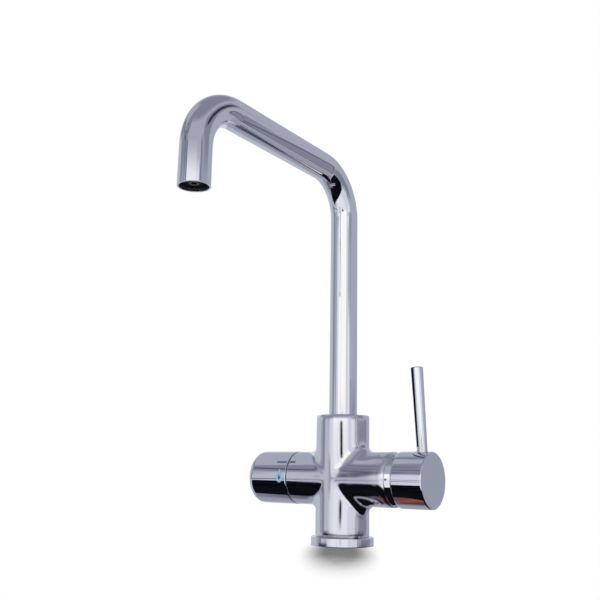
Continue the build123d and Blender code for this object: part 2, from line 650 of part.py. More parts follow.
def make_cartridge_nut():
    nut = bar(NUT_RADIUS, CARTRIDGE_SHOULDER, MIXER_ARM_REACH)
    nut += bar(NUT_BOSS_RADIUS, MIXER_ARM_REACH, MIXER_ARM_REACH + NUT_BOSS_LENGTH)
    bore = bar(
        CARTRIDGE_NECK_RADIUS + LAID_GAP, CARTRIDGE_SHOULDER, MIXER_ARM_REACH + NUT_BOSS_LENGTH
    )
    return MIXER_SIDE * (nut - bore)


def make_dome_ring():
    """Trim ring whose outside is part of a ball about the lever's tilt axis."""
    top = MIXER_ARM_REACH + DOME_LENGTH
    ring = sleeve(ARM_RADIUS, NUT_BOSS_RADIUS + LAID_GAP, MIXER_ARM_REACH, top)
    return MIXER_SIDE * (ring & Pos(0, 0, STEM_PIVOT) * Sphere(DOME_RADIUS))


# ---------------------------------------------------------------- lever
def rod_frame():
    """Where the rod leaves the cap, local Z along the rod."""
    lean = math.radians(ROD_LEAN)
    direction = (-math.sin(lean), 0, math.cos(lean))
    foot = (ROD_STATION, 0, ARM_HEIGHT + CAP_RADIUS)
    return Plane(origin=foot, x_dir=(0, 1, 0), z_dir=direction).location


def lever_screw_place():
    """Underside of the cap, local Z pointing down and out from the arm's axis."""
    origin = (LEVER_SCREW_STATION, 0, ARM_HEIGHT)
    return Plane(origin=origin, x_dir=(1, 0, 0), z_dir=(0, 0, -1)).location


def rod_countersink():
    """Cone round the rod's foot that is ROD_COUNTERSINK wide where the cap's top lies lowest."""
    hole_radius = ROD_FOOT_RADIUS + LAID_GAP
    rim_radius = hole_radius + ROD_COUNTERSINK
    rim_drop = CAP_RADIUS - math.sqrt(CAP_RADIUS**2 - rim_radius**2)
    depth = rim_drop + ROD_COUNTERSINK
    cone = Cone(hole_radius, hole_radius + depth, depth, align=CENTRED)
    return rod_frame() * Pos(0, 0, -depth) * cone


def make_lever_cap():
    cap = MIXER_SIDE * bevelled_bar(CAP_RADIUS, CAP_RIM, CAP_FACE, CAP_CHAMFER)
    stem_room = STEM_WIDTH + LAID_GAP
    hollows = [
        rod_countersink(),
        MIXER_SIDE * bar(CAP_RADIUS - CAP_WALL, CAP_RIM, CAP_SOLID),
        MIXER_SIDE * block(stem_room, stem_room, CAP_SOLID, STEM_END + LAID_GAP),
        rod_frame() * bar(ROD_FOOT_RADIUS + LAID_GAP, -ROD_INSERTION, ROD_INSERTION),
        lever_screw_place() * bar(LEVER_SCREW_RADIUS + LAID_GAP, 0, CAP_RADIUS),
    ]
    return cap - hollows


def make_lever_rod():
    """Slim rod, thicker at its top, with a plain tenon in the cap."""
    outline = Polyline(
        (0, -ROD_INSERTION),
        (ROD_FOOT_RADIUS, -ROD_INSERTION),
        (ROD_FOOT_RADIUS, 0),
        (ROD_TOP_RADIUS, ROD_LENGTH),
        (0, ROD_LENGTH),
        close=True,
    )
    rod = revolve(Plane.XZ * make_face(outline), Axis.Z)
    return rod_frame() * fillet(rod.edges().group_by(Axis.Z)[-1], ROD_EDGE)


def make_lever_screw():
    low = STEM_WIDTH / 2
    return lever_screw_place() * grub_screw(LEVER_SCREW_RADIUS, low, low + LEVER_SCREW_LENGTH)


# ---------------------------------------------------------------- filtered-water valve
def valve_ports(low, high):
    """Two opposite sector openings through a valve disc."""
    ring = sleeve(VALVE_PORT_OUTER, VALVE_PORT_INNER, low, high)
    reach = 2 * VALVE_PORT_OUTER
    half = math.radians(VALVE_PORT_ANGLE / 2)
    corner = (reach * math.cos(half), reach * math.sin(half))
    wedge = make_face(Polyline((0, 0), corner, (corner[0], -corner[1]), close=True))
    sector = extrude(Pos(0, 0, low) * wedge, high - low) & ring
    return [sector, Rot(0, 0, 180) * sector]


def valve_disc(low):
    high = low + VALVE_DISC_THICKNESS
    return bar(HEADWORK_CAVITY - LAID_GAP, low, high) - valve_ports(low, high)


def make_headwork():
    headwork = bar(HEADWORK_RADIUS, HEADWORK_FOOT, FILTER_ARM_REACH)
    hexagon = RegularPolygon(HEADWORK_HEX / 2, 6, major_radius=False)
    headwork += extrude(Pos(0, 0, FILTER_ARM_REACH) * hexagon, HEADWORK_HEX_THICKNESS)
    headwork += bar(HEADWORK_NECK_RADIUS, HEADWORK_NECK, HEADWORK_TOP)
    beyond = 2 * (HEADWORK_RADIUS + PASSING_GAP)
    hollows = [
        bar(HEADWORK_CAVITY, HEADWORK_FOOT, HEADWORK_SHELF),
        bar(HEADWORK_BORE, HEADWORK_SHELF, HEADWORK_TOP),
        block(beyond, WINDOW_WIDTH, DRIVER_FOOT, DRIVER_FOOT + WINDOW_LENGTH),
    ]
    return FILTER_SIDE * (headwork - hollows)


def make_headwork_seat_washer():
    outer = HEADWORK_CAVITY - LAID_GAP
    return FILTER_SIDE * sleeve(outer, SEAT_WASHER_BORE, HEADWORK_SEAT, VALVE_FIXED_DISC_FOOT)


def make_headwork_fixed_disc():
    return FILTER_SIDE * valve_disc(VALVE_FIXED_DISC_FOOT)


def make_headwork_moving_disc():
    """Shut at rest: its openings stand square to those of the fixed disc."""
    return FILTER_SIDE * Rot(0, 0, 90) * valve_disc(VALVE_MOVING_DISC_FOOT)


def spindle_o_ring_levels():
    return [HEADWORK_FOOT + height for height in SPINDLE_O_RING_HEIGHTS]


def make_headwork_spindle():
    driver_length = 2 * (HEADWORK_CAVITY - PASSING_GAP)
    collar_top = HEADWORK_SHELF - PASSING_GAP
    spindle = block(SPINDLE_DRIVER_WIDTH, driver_length, DRIVER_FOOT, DRIVER_TOP)
    spindle &= bar(HEADWORK_CAVITY - PASSING_GAP, DRIVER_FOOT, DRIVER_TOP)
    spindle += bar(SPINDLE_COLLAR_RADIUS, DRIVER_TOP, collar_top)
    spindle += bar(SPINDLE_RADIUS, DRIVER_TOP, HUB_FOOT)
    spindle += block(SPINDLE_SQUARE, SPINDLE_SQUARE, HUB_FOOT, SPINDLE_END)
    grooves = [
        sleeve(
            SPINDLE_RADIUS,
            SPINDLE_RADIUS - CLIP_SEAT_DEPTH,
            CLIP_FOOT,
            CLIP_FOOT + CLIP_THICKNESS,
        )
    ]
    for level in spindle_o_ring_levels():
        reach = SPINDLE_O_RING / 2 + LAID_GAP / 2
        bottom = SPINDLE_RADIUS - SPINDLE_O_RING - LAID_GAP / 2
        grooves.append(sleeve(SPINDLE_RADIUS, bottom, level - reach, level + reach))
    return FILTER_SIDE * (spindle - grooves)


def make_spindle_o_rings():
    rings = [o_ring(SPINDLE_RADIUS, SPINDLE_O_RING, level) for level in spindle_o_ring_levels()]
    return FILTER_SIDE * (Part() + rings)


def make_spindle_clip():
    """Open spring clip in the spindle's groove."""
    seat = SPINDLE_RADIUS - CLIP_SEAT_DEPTH + LAID_GAP / 2
    clip = sleeve(CLIP_RADIUS, seat, CLIP_FOOT, CLIP_FOOT + CLIP_THICKNESS)
    gap = Pos(CLIP_RADIUS / 2, 0, 0) * block(CLIP_RADIUS, CLIP_SLOT, CLIP_FOOT, HUB_FOOT)
    return FILTER_SIDE * (clip - gap)


def knob_screw_place():
    """Underside of the knob, local Z pointing down and out from the arm's axis."""
    origin = (-KNOB_SCREW_STATION, 0, ARM_HEIGHT)
    return Plane(origin=origin, x_dir=(1, 0, 0), z_dir=(0, 0, -1)).location


def make_filter_knob():
    knob = bar(KNOB_RADIUS, KNOB_RIM, KNOB_FACE)
    knob = fillet(knob.edges().group_by(Axis.Z)[-1], KNOB_FILLET)
    knob = chamfer(knob.edges().group_by(Axis.Z)[0], SEAM_CHAMFER)
    cavity_end = KNOB_FACE - KNOB_END_WALL
    knob -= sleeve(KNOB_RADIUS - KNOB_WALL, KNOB_HUB_RADIUS, KNOB_RIM, cavity_end)
    knob -= bar(KNOB_HUB_RADIUS, KNOB_RIM, HUB_FOOT)
    square = SPINDLE_SQUARE + LAID_GAP
    knob -= block(square, square, HUB_FOOT, SPINDLE_END + LAID_GAP)
    screw_hole = bar(KNOB_SCREW_RADIUS + LAID_GAP, 0, KNOB_RADIUS)
    return FILTER_SIDE * knob - knob_screw_place() * screw_hole


def make_knob_screw():
    low = SPINDLE_SQUARE / 2
    return knob_screw_place() * grub_screw(KNOB_SCREW_RADIUS, low, low + KNOB_SCREW_LENGTH)


# ---------------------------------------------------------------- all pieces
pieces = {
    "body_casting": make_body_casting(),
    "base_ring": make_base_ring(),
    "base_seal": make_base_seal(),
    "spout_retaining_screw": make_spout_retaining_screw(),
    "spout_tube": make_spout_tube(),
    "spout_spigot": make_spout_spigot(),
    "spout_guide_rings": make_spout_guide_rings(),
    "spout_o_rings": make_spout_o_rings(),
    "filtered_riser": make_filtered_riser(),
    "riser_o_ring": make_riser_o_ring(),
    "filtered_tube": make_filtered_tube(),
    "aerator_housing": make_aerator_housing(),
    "aerator_core": make_aerator_core(),
    "aerator_washer": make_aerator_washer(),
    "filtered_nozzle": make_filtered_nozzle(),
    "cartridge_housing": make_cartridge_housing(),
    "cartridge_seals": make_cartridge_seals(),
    "cartridge_fixed_disc": make_cartridge_fixed_disc(),
    "cartridge_moving_disc": make_cartridge_moving_disc(),
    "disc_carrier": make_disc_carrier(),
    "cartridge_rotor": make_cartridge_rotor(),
    "stem_pin": make_stem_pin(),
    "cartridge_stem": make_cartridge_stem(),
    "cartridge_nut": make_cartridge_nut(),
    "dome_ring": make_dome_ring(),
    "lever_cap": make_lever_cap(),
    "lever_rod": make_lever_rod(),
    "lever_screw": make_lever_screw(),
    "headwork": make_headwork(),
    "headwork_seat_washer": make_headwork_seat_washer(),
    "headwork_fixed_disc": make_headwork_fixed_disc(),
    "headwork_moving_disc": make_headwork_moving_disc(),
    "headwork_spindle": make_headwork_spindle(),
    "spindle_o_rings": make_spindle_o_rings(),
    "spindle_clip": make_spindle_clip(),
    "filter_knob": make_filter_knob(),
    "knob_screw": make_knob_screw(),
}

os.makedirs("parts", exist_ok=True)
for name, piece in pieces.items():
    export_step(piece, f"parts/{name}.step")
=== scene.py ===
import json
import math

import bmesh
import bpy
from mathutils import Matrix, Vector


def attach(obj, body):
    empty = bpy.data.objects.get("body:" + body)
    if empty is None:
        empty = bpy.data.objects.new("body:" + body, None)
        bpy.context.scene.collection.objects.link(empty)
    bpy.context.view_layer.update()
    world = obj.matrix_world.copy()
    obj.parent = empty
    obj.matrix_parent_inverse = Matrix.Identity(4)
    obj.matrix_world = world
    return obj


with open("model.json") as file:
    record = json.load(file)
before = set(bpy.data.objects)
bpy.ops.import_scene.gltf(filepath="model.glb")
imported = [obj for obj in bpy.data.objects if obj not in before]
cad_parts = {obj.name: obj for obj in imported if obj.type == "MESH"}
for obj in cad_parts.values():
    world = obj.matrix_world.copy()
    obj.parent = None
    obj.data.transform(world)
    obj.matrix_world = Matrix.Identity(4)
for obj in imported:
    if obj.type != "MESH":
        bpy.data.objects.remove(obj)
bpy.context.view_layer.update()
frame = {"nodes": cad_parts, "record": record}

# Three-way kitchen tap in polished chrome on a white table, as the photograph shows it.
# The camera's and the marks' lengths are in millimetres, all others in metres.
MM = 0.001


# ---------------------------------------------------------------- camera
VIEW_AZIMUTH = math.radians(31.77)      # of the camera, from -Y towards +X
VIEW_DISTANCE = 689.7
VIEW_HEIGHT = 60.0
YAW = math.radians(3.22)
PITCH = math.radians(12.11)
ROLL = math.radians(1.02)
FOCAL_SHARE = 794.63 / 600              # focal length as a share of the picture's width

# Level directions from the tap: towards the camera, and to the camera's right.
FACING = Vector((math.sin(VIEW_AZIMUTH), -math.cos(VIEW_AZIMUTH), 0))
BESIDE = Vector((math.cos(VIEW_AZIMUTH), math.sin(VIEW_AZIMUTH), 0))
UPWARD = Vector((0, 0, 1))


def make_camera():
    heading = VIEW_AZIMUTH + YAW
    ahead = Vector((-math.sin(heading), math.cos(heading), 0))
    forward = math.cos(PITCH) * ahead + math.sin(PITCH) * UPWARD
    level = Vector((math.cos(heading), math.sin(heading), 0))
    above = level.cross(forward)
    right = math.cos(ROLL) * level + math.sin(ROLL) * above
    up = math.cos(ROLL) * above - math.sin(ROLL) * level
    data = bpy.data.cameras.new("camera")
    data.sensor_width = 36.0
    data.lens = data.sensor_width * FOCAL_SHARE
    data.clip_start = 0.01
    data.clip_end = 100.0
    camera = bpy.data.objects.new("camera", data)
    bpy.context.scene.collection.objects.link(camera)
    place = FACING * VIEW_DISTANCE + UPWARD * VIEW_HEIGHT
    turn = Matrix((right, up, -forward)).transposed().to_4x4()
    camera.matrix_world = Matrix.Translation(place * MM) @ turn
    bpy.context.scene.camera = camera


# ---------------------------------------------------------------- node helpers
class Graph:
    """Thin wrapper over a node tree, so that a material reads as a list of steps."""

    def __init__(self, tree):
        self.tree = tree
        tree.nodes.clear()

    def node(self, kind, **values):
        made = self.tree.nodes.new(kind)
        for key, value in values.items():
            setattr(made, key, value)
        return made

    def link(self, source, target):
        self.tree.links.new(source, target)

    def feed(self, socket, value):
        if isinstance(value, bpy.types.NodeSocket):
            self.link(value, socket)
        else:
            socket.default_value = value

    def math(self, operation, *values):
        made = self.node("ShaderNodeMath", operation=operation)
        for socket, value in zip(made.inputs, values):
            self.feed(socket, value)
        return made.outputs[0]

    def place(self):
        return self.node("ShaderNodeTexCoord").outputs["Object"]

    def noise(self, scale, detail=3.0, roughness=0.5, stretch=(1, 1, 1)):
        """Noise fixed to the piece, in cells per metre; a small stretch draws it out."""
        mapping = self.node("ShaderNodeMapping")
        mapping.inputs["Scale"].default_value = stretch
        self.link(self.place(), mapping.inputs["Vector"])
        made = self.node("ShaderNodeTexNoise")
        made.inputs["Scale"].default_value = scale
        made.inputs["Detail"].default_value = detail
        made.inputs["Roughness"].default_value = roughness
        self.link(mapping.outputs["Vector"], made.inputs["Vector"])
        return made.outputs["Fac"]

    def ramp(self, value, *stops):
        made = self.node("ShaderNodeValToRGB")
        ramp = made.color_ramp
        while len(ramp.elements) < len(stops):
            ramp.elements.new(0.5)
        for element, (position, colour) in zip(ramp.elements, stops):
            element.position = position
            element.color = (*colour, 1)
        self.link(value, made.inputs["Fac"])
        return made.outputs["Color"]

    def between(self, value, low, high, start=0.0, end=1.0, smooth=False):
        """Low at the start, high at the end, and no further on either side."""
        kind = "SMOOTHSTEP" if smooth else "LINEAR"
        made = self.node("ShaderNodeMapRange", interpolation_type=kind)
        made.inputs["From Min"].default_value = start
        made.inputs["From Max"].default_value = end
        made.inputs["To Min"].default_value = low
        made.inputs["To Max"].default_value = high
        self.link(value, made.inputs["Value"])
        return made.outputs["Result"]

    def blend(self, share, below, above, kind="MIX"):
        """Two colours over each other; the upper one counts by its share."""
        made = self.node("ShaderNodeMix", data_type="RGBA", blend_type=kind)
        sockets = {socket.identifier: socket for socket in made.inputs}
        self.feed(sockets["Factor_Float"], share)
        self.feed(sockets["A_Color"], below)
        self.feed(sockets["B_Color"], above)
        return next(out for out in made.outputs if out.identifier == "Result_Color")

    def bump(self, height, depth, under=None):
        made = self.node("ShaderNodeBump")
        made.inputs["Strength"].default_value = 1.0
        made.inputs["Distance"].default_value = depth
        self.link(height, made.inputs["Height"])
        if under is not None:
            self.link(under, made.inputs["Normal"])
        return made.outputs["Normal"]

    def glow(self, low, high, scale, spread):
        """Emission whose grain runs from the low colour to the high one."""
        made = self.node("ShaderNodeEmission")
        stops = ((0.5 - spread, low), (0.5 + spread, high))
        self.link(self.ramp(self.noise(scale), *stops), made.inputs["Color"])
        return made.outputs["Emission"]

    def choose(self, share, first, second):
        """The first shader where the share is 0, the second where it is 1."""
        made = self.node("ShaderNodeMixShader")
        self.link(share, made.inputs["Fac"])
        self.link(first, made.inputs[1])
        self.link(second, made.inputs[2])
        return made.outputs["Shader"]


def new_material(name):
    material = bpy.data.materials.new(name)
    material.use_nodes = True
    graph = Graph(material.node_tree)
    output = graph.node("ShaderNodeOutputMaterial")
    return material, graph, output.inputs["Surface"]


def surface(name, metallic, ior=1.5, coat=0.0):
    material, graph, output = new_material(name)
    shader = graph.node("ShaderNodeBsdfPrincipled")
    shader.inputs["Metallic"].default_value = metallic
    shader.inputs["IOR"].default_value = ior
    shader.inputs["Coat Weight"].default_value = coat
    graph.link(shader.outputs["BSDF"], output)
    return material, graph, shader.inputs


# ---------------------------------------------------------------- studio
# The tap's polished plating shows what stands round it. Every card below is a piece of those
# surroundings: `turn` is degrees from the camera to its right, `rise` degrees above level, and
# the tone is the one that the plating shows, 0 to 255.
PLATING_SHARE = 0.93            # of the light that the plating throws back
PLAIN_LIGHT = 0.72              # strength of the world's light on surfaces that aren't polished


def tone(*channels):
    """Light that shows as this tone in the plating: sRGB steps turned into linear light."""
    lights = []
    for share in (channel / 255 for channel in channels):
        light = share / 12.92 if share < 0.04 else ((share + 0.055) / 1.055) ** 2.4
        lights.append(min(light / PLATING_SHARE, 1.0))
    return tuple(lights)


BLACK = tone(4, 5, 8)
COAL = tone(16, 18, 24)
SOOT = tone(24, 26, 34)
DARK = tone(50, 54, 68)
SHADE = tone(92, 96, 112)
DIM = tone(125, 129, 146)
GREY = tone(147, 151, 167)
MIST = tone(160, 164, 180)
PALE = tone(178, 182, 195)
LIGHT = tone(202, 205, 217)
BRIGHT = tone(220, 223, 232)
WHITE = tone(248, 249, 253)
MAROON = tone(66, 32, 30)
BRICK = tone(134, 78, 68)


class Surroundings(Graph):
    """Direction of the look out of the tap, and the cards laid over each other in it."""

    def __init__(self, tree, base):
        super().__init__(tree)
        look = self.node("ShaderNodeTexCoord").outputs["Generated"]
        ahead, beside, above = (self.along(look, axis) for axis in (FACING, BESIDE, UPWARD))
        self.turn = self.degrees(self.math("ARCTAN2", beside, ahead))
        self.rise = self.degrees(self.math("ARCSINE", above))
        self.colour = (*base, 1)

    def along(self, look, axis):
        made = self.node("ShaderNodeVectorMath", operation="DOT_PRODUCT")
        self.link(look, made.inputs[0])
        made.inputs[1].default_value = axis
        return made.outputs["Value"]

    def degrees(self, angle):
        return self.math("MULTIPLY", angle, math.degrees(1))

    def above(self, value, place, soft):
        """1 above the place, 0 below it, with a soft edge."""
        return self.between(value, 0.0, 1.0, place - soft / 2, place + soft / 2, smooth=True)

    def below(self, value, place, soft):
        return self.math("SUBTRACT", 1.0, self.above(value, place, soft))

    def lay(self, cover, colour):
        self.colour = self.blend(cover, self.colour, (*colour, 1))

    def card(self, turn, rise, colour, soft=(2.0, 2.0), lean=0.0):
        """Four-sided card with soft edges. `lean` tilts it: rise gained per degree of turn.

        A side at 90 or 180 degrees is the end of the scale, so the card goes on past it.
        """
        height = self.rise
        if lean:
            middle = (turn[0] + turn[1]) / 2
            slope = self.math("MULTIPLY", self.math("SUBTRACT", self.turn, middle), lean)
            height = self.math("SUBTRACT", self.rise, slope)
        sides = []
        for value, (low, high), edge in ((self.turn, turn, soft[0]), (height, rise, soft[1])):
            if low not in (-180, -90):
                sides.append(self.above(value, low, edge))
            if high not in (90, 180):
                sides.append(self.below(value, high, edge))
        cover = sides[0]
        for side in sides[1:]:
            cover = self.math("MULTIPLY", cover, side)
        self.lay(cover, colour)

    def oval(self, middle, half, colour, edge=0.3):
        """Oval card: `half` holds its half widths in turn and rise."""
        squares = []
        for value, centre, reach in zip((self.turn, self.rise), middle, half):
            share = self.math("DIVIDE", self.math("SUBTRACT", value, centre), reach)
            squares.append(self.math("MULTIPLY", share, share))
        self.lay(self.below(self.math("ADD", *squares), 1.0, edge), colour)


def lay_cards(around):
    card, oval = around.card, around.oval
    # room behind the tap
    card((-180, 180), (54, 90), DIM, (2, 14))
    card((-180, -88), (43, 57), MIST, (6, 8))
    card((-128, -88), (43, 70), MIST, (6, 8))
    card((-180, -106), (-30, 29), PALE, (6, 8))
    card((-180, -150), (3, 24), LIGHT, (10, 6))
    card((-168, -133), (22, 30.5), BRIGHT, (4, 4))
    card((-132, -96), (27, 43), DIM, (10, 6))
    card((-180, -108), (-90, -30), GREY, (6, 6))
    card((-180, -100), (-90, -52), SHADE, (6, 8))
    card((168, 180), (-5, 28), LIGHT, (8, 6))
    card((151, 171), (20, 29), LIGHT, (6, 4))
    card((118, 180), (-90, -12), GREY, (8, 8))
    # to its right
    card((72, 105), (-90, 5), DIM, (4, 6))
    card((60, 112), (21, 44), DIM, (4, 5))
    card((48, 72), (16, 26), GREY, (4, 4))
    oval((92, 34.5), (18, 4.0), DARK, 0.7)
    card((118.5, 127), (-5, 4), GREY, (2, 2))
    oval((113, -10), (8.0, 22), SHADE)
    oval((113, -10), (6.6, 18.5), DIM)
    card((122, 148), (-46, -42.5), SHADE, (4, 2))
    card((146, 162), (-47, -35), SHADE, (5, 4))
    # window towards the camera, with its frame and the wall round it
    card((-84, -47), (21, 60), DIM, (4, 3))
    card((-62, 60), (-90, 18), LIGHT, (4, 5))
    card((-50, 20), (-90, 19), BRIGHT, (4, 6))
    card((-44, 21), (3, 22), WHITE, (4, 8))
    card((-50, 34), (22.3, 34), MIST, (6, 3))
    card((37, 60), (11, 24), MIST, (4, 5))
    card((36, 47), (-2, 11), BRIGHT, (3, 4))
    card((-84, -62), (-14, 17), PALE, (4, 4))
    card((-84, -71), (6, 18), GREY, (4, 4))
    card((-98, -84), (-6, 28), DIM, (3, 5))
    # narrow frames and rails
    card((-97, -64), (30.3, 32.8), DARK, (5, 3), lean=-0.39)
    card((-80, -71), (43.5, 45.5), SHADE, (3, 1.5))
    card((-72, -60), (33.5, 36), SHADE, (3, 2))
    card((-64, -56), (-1.6, 1.0), GREY, (2, 1))
    card((-107, -104.5), (-10, 4), SHADE, (1.5, 3))
    card((-65.5, -62.5), (4, 26), SHADE, (1.5, 3))
    card((-46.5, -43), (-25, 20), LIGHT, (1.5, 4))
    card((-22, -20), (-25, 16), LIGHT, (1, 4))
    card((20, 41), (17.5, 21.5), BRIGHT, (4, 2))
    card((48.5, 53), (17, 27), SHADE, (1.5, 4))
    card((-50.5, -45.5), (18, 24), SHADE, (1.5, 2))
    card((55.5, 58), (-14, 24), SHADE, (1.2, 4))
    # stand's rim at the height of the base ring
    card((-97, -58), (-7, -4.88), DARK, (10, 0.16))
    card((60, 100), (-7, -5.02), DARK, (8, 0.12))
    # camera's own narrow shape, dark before the window, and its foot
    card((-12.6, -2.4), (0, 3.9), BLACK, (2.6, 0.8))
    card((-15.4, -5.4), (-3.6, 0), BLACK, (2.6, 0.8))
    oval((-7, -4.74), (4, 0.07), DARK)


def make_world():
    """White to the camera; polished metal sees the cards; the rest of the light is plain."""
    world = bpy.data.worlds.new("world")
    bpy.context.scene.world = world
    world.use_nodes = True
    around = Surroundings(world.node_tree, MIST)
    lay_cards(around)
    rays = around.node("ShaderNodeLightPath").outputs
    plain = around.node("ShaderNodeBackground")
    plain.inputs["Color"].default_value = (1, 1, 1, 1)
    seen = around.math("MAXIMUM", rays["Is Camera Ray"], rays["Is Transmission Ray"])
    around.link(around.between(seen, PLAIN_LIGHT, 1.0), plain.inputs["Strength"])
    studio = around.node("ShaderNodeBackground")
    around.link(around.colour, studio.inputs["Color"])
    shown = around.choose(rays["Is Glossy Ray"], plain.outputs[0], studio.outputs[0])
    around.link(shown, around.node("ShaderNodeOutputWorld").inputs["Surface"])


LAMP_PLACE = Vector((-0.4, 0.9, 1.6))   # behind the tap and above it, aimed at its foot
LAMP_SIZE = 0.9
LAMP_POWER = 9.0


def make_lamp():
    data = bpy.data.lights.new("lamp_top", "AREA")
    data.shape = "DISK"
    data.size = LAMP_SIZE
    data.energy = LAMP_POWER
    lamp = bpy.data.objects.new("lamp_top", data)
    bpy.context.scene.collection.objects.link(lamp)
    lamp.location = LAMP_PLACE
    lamp.rotation_euler = (-LAMP_PLACE).to_track_quat("-Z", "Y").to_euler()
    lamp.visible_glossy = False
    lamp.visible_camera = False


def stage_point(beside, ahead, height):
    """Place from lengths to the camera's right, towards it, and above the table."""
    return beside * BESIDE + ahead * FACING + height * UPWARD


def stage_object(name, corners, material, shown_to_camera):
    """Flat stage piece. What the camera doesn't see shows only in reflections."""
    mesh = bpy.data.meshes.new(name)
    mesh.from_pydata(corners, [], [tuple(range(len(corners)))])
    thing = bpy.data.objects.new(name, mesh)
    bpy.context.scene.collection.objects.link(thing)
    thing.data.materials.append(material)
    if shown_to_camera:
        thing.visible_glossy = False
    else:
        thing.visible_camera = False
        thing.visible_diffuse = False
        thing.visible_transmission = False
        thing.visible_shadow = False


FLOOR_HALF = 40.0
FLOOR_WHITE = 0.9                       # share of light the floor gives back to the tap
# The foot's shadow is painted into the floor's glow: an oval round the foot, darkened by ambient
# occlusion.
SHADOW_REACH = 0.30                     # how far off the tap still takes light from the floor
SHADOW_LEAN = 2.0                       # light lost is counted on the side away from the camera
SHADOW_CENTRE = stage_point(-0.002, 0.06, 0)
SHADOW_HALF_SIZE = (0.034, 0.185, 1)    # across and towards the camera
SHADOW_FADE = (0.30, 0.95)              # shares of that size between which it fades out
SHADOW_DARKEST = (0.205, 0.205, 0.21)
OPEN_SHARES = (0.80, 0.985)             # of light left, for the darkest shadow and for none


def make_floor():
    """White floor with a painted soft shadow of the foot; it fades out further away."""
    material, graph, output = new_material("floor")
    shade = graph.node("ShaderNodeAmbientOcclusion", samples=16)
    shade.inputs["Distance"].default_value = SHADOW_REACH
    normal = graph.node("ShaderNodeCombineXYZ")
    for socket, value in zip(normal.inputs, (UPWARD - SHADOW_LEAN * FACING).normalized()):
        socket.default_value = value
    graph.link(normal.outputs["Vector"], shade.inputs["Normal"])
    covered = graph.between(shade.outputs["AO"], 1.0, 0.0, *OPEN_SHARES)

    foot = graph.node("ShaderNodeMapping", vector_type="TEXTURE")
    foot.inputs["Location"].default_value = SHADOW_CENTRE
    foot.inputs["Rotation"].default_value = (0, 0, VIEW_AZIMUTH)
    foot.inputs["Scale"].default_value = SHADOW_HALF_SIZE
    graph.link(graph.place(), foot.inputs["Vector"])
    far = graph.node("ShaderNodeVectorMath", operation="LENGTH")
    graph.link(foot.outputs["Vector"], far.inputs[0])
    near = graph.between(far.outputs["Value"], 1.0, 0.0, *SHADOW_FADE, smooth=True)

    # Painted shadow: the glow the camera sees goes from white to the darkest shade where occlusion
    # and the oval meet.
    seen = graph.node("ShaderNodeEmission")
    strength = graph.math("MULTIPLY", covered, near)
    colour = graph.ramp(strength, (0.0, (1.0, 1.0, 1.0)), (1.0, SHADOW_DARKEST))
    graph.link(colour, seen.inputs["Color"])
    matt = graph.node("ShaderNodeBsdfDiffuse")
    matt.inputs["Color"].default_value = (FLOOR_WHITE, FLOOR_WHITE, FLOOR_WHITE, 1)
    from_camera = graph.node("ShaderNodeLightPath").outputs["Is Camera Ray"]
    shown = graph.choose(from_camera, matt.outputs["BSDF"], seen.outputs["Emission"])
    graph.link(shown, output)
    half = FLOOR_HALF
    corners = [(-half, -half, 0), (half, -half, 0), (half, half, 0), (-half, half, 0)]
    stage_object("floor", corners, material, True)


# Dark bench below the tap's stand, and a red strip on its edge just under it. Each corner gives
# the lengths to the camera's right and towards the camera.
BENCH_HEIGHT = -0.20
STRIP_HEIGHT = -0.201
BENCH_CORNERS = [
    # front
    (-1.5, 0.40),
    (-0.8, 0.42),
    (-0.3, 0.48),
    (0.1, 0.48),
    (0.5, 0.45),
    (0.9, 0.25),
    # right side, up to the tap
    (0.9, -0.15),
    (0.2, -0.15),
    (0.06, -0.10),
    (0.0, -0.035),
    (-0.05, 0.015),
    # notch beside the tap
    (-0.10, 0.045),
    (-0.125, 0.04),
    (-0.135, -0.04),
    (-0.17, -0.07),
    # left side
    (-0.25, -0.09),
    (-0.5, -0.1),
    (-1.0, -0.02),
]
STRIP_CORNERS = [
    (-0.125, 0.05),
    (-0.09, 0.05),
    (-0.04, 0.02),
    (0.005, -0.03),
    (0.02, -0.07),
    (-0.02, -0.095),
    (-0.045, -0.055),
    (-0.08, -0.02),
    (-0.125, -0.01),
]


def make_bench():
    """Shows only in the plating, as the black under both arms and the red on the cap."""
    for name, corners, height, colours, scale in (
        ("bench", BENCH_CORNERS, BENCH_HEIGHT, (BLACK, COAL), 9.0),
        ("bench_edge", STRIP_CORNERS, STRIP_HEIGHT, (MAROON, BRICK), 26.0),
    ):
        material, graph, output = new_material(name)
        graph.link(graph.glow(*colours, scale, 0.15), output)
        places = [stage_point(*corner, height) for corner in corners]
        stage_object(name, places, material, False)


FLAG_CORNERS = [
    (0.0543, 0.0430, 0.080),
    (0.0543, 0.0335, 0.080),
    (0.0513, 0.0335, 0.149),
    (0.0513, 0.0430, 0.149),
]


def make_flag():
    """Narrow black card beside the lever; from its other side it isn't there."""
    material, graph, output = new_material("flag")
    card = graph.glow(BLACK, SOOT, 30.0, 0.2)
    nothing = graph.node("ShaderNodeBsdfTransparent").outputs["BSDF"]
    from_behind = graph.node("ShaderNodeNewGeometry").outputs["Backfacing"]
    graph.link(graph.choose(from_behind, card, nothing), output)
    corners = [stage_point(*corner) for corner in FLAG_CORNERS]
    stage_object("flag", corners, material, False)


# ---------------------------------------------------------------- materials
PLATE_TINTS = ((0.915, 0.92, 0.935), (0.94, 0.94, 0.945))
CREVICE_REACH = 0.003           # how near another surface makes a crevice
# painted shade: the plate's colour deep in crevices and narrow gaps
CREVICE_PAINTED_SHADE = (0.02, 0.02, 0.03)
FILM_ROUGHNESS = (0.015, 0.075) # of clean plate, and under the thickest of the water film
HAIR_DEPTH = 0.0000007          # of the scratches that polishing leaves
SEAM_ROUNDING = 0.0006          # of the casting's edge at the knob's seam
SEAM_SPAN = (-0.035, -0.030)    # x between which the rounding falls to that


